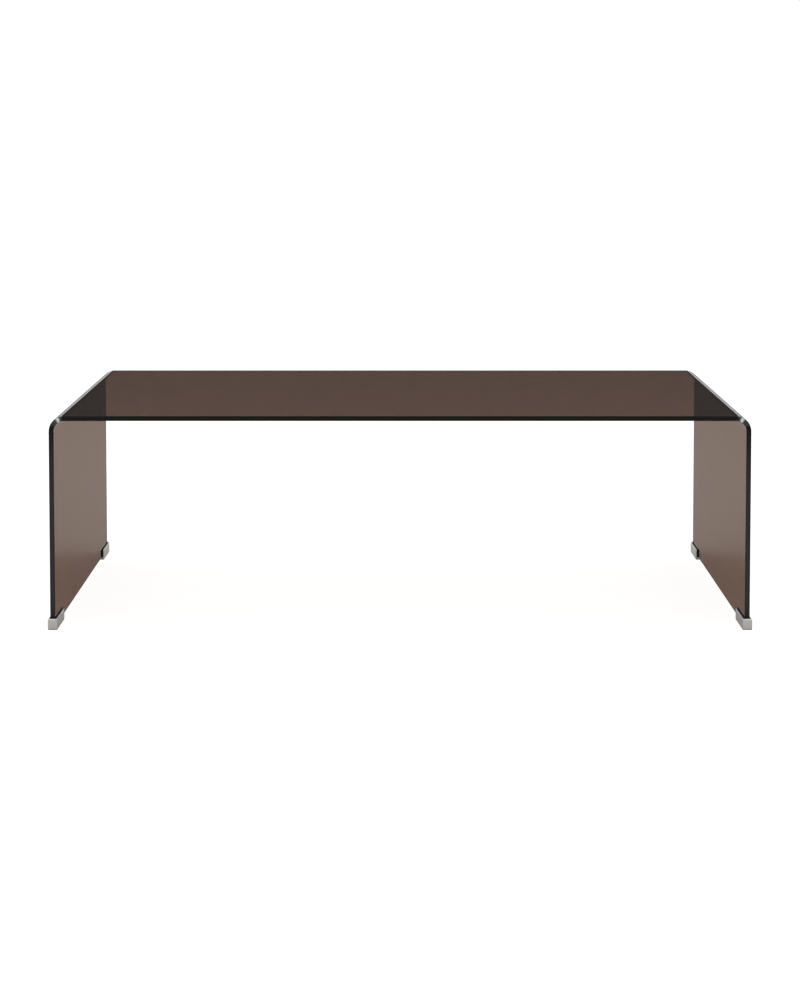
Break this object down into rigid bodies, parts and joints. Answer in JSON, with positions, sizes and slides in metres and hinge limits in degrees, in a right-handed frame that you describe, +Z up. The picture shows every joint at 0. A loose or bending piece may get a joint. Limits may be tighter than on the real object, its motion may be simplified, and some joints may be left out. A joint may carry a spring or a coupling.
{
  "type": "waterfall coffee table",
  "caption": "Low rectangular coffee table: smoked glass bent into an inverted U for its top and legs, standing in satin metal corner shoes with black rubber liners.",
  "frame": {"origin": "on the floor, under the middle of the table", "axes": "+X along the table's length, -Y towards the front, +Z up"},
  "size_m": [1.409, 0.709, 0.43],
  "materials": {
    "smoked_glass": "clear smoked bronze, polished edges",
    "satin_nickel": "satin",
    "black_rubber": "matt",
    "soft_pad": "matt"
  },
  "bodies": {
    "root": {"bent_glass_sheet": "smoked_glass", "front_left_shoe": "satin_nickel", "front_right_shoe": "satin_nickel", "rear_left_shoe": "satin_nickel", "rear_right_shoe": "satin_nickel", "front_left_liner": "black_rubber", "front_right_liner": "black_rubber", "rear_left_liner": "black_rubber", "rear_right_liner": "black_rubber", "front_left_floor_pad": "soft_pad", "front_right_floor_pad": "soft_pad", "rear_left_floor_pad": "soft_pad", "rear_right_floor_pad": "soft_pad"}
  },
  "joints": []
}
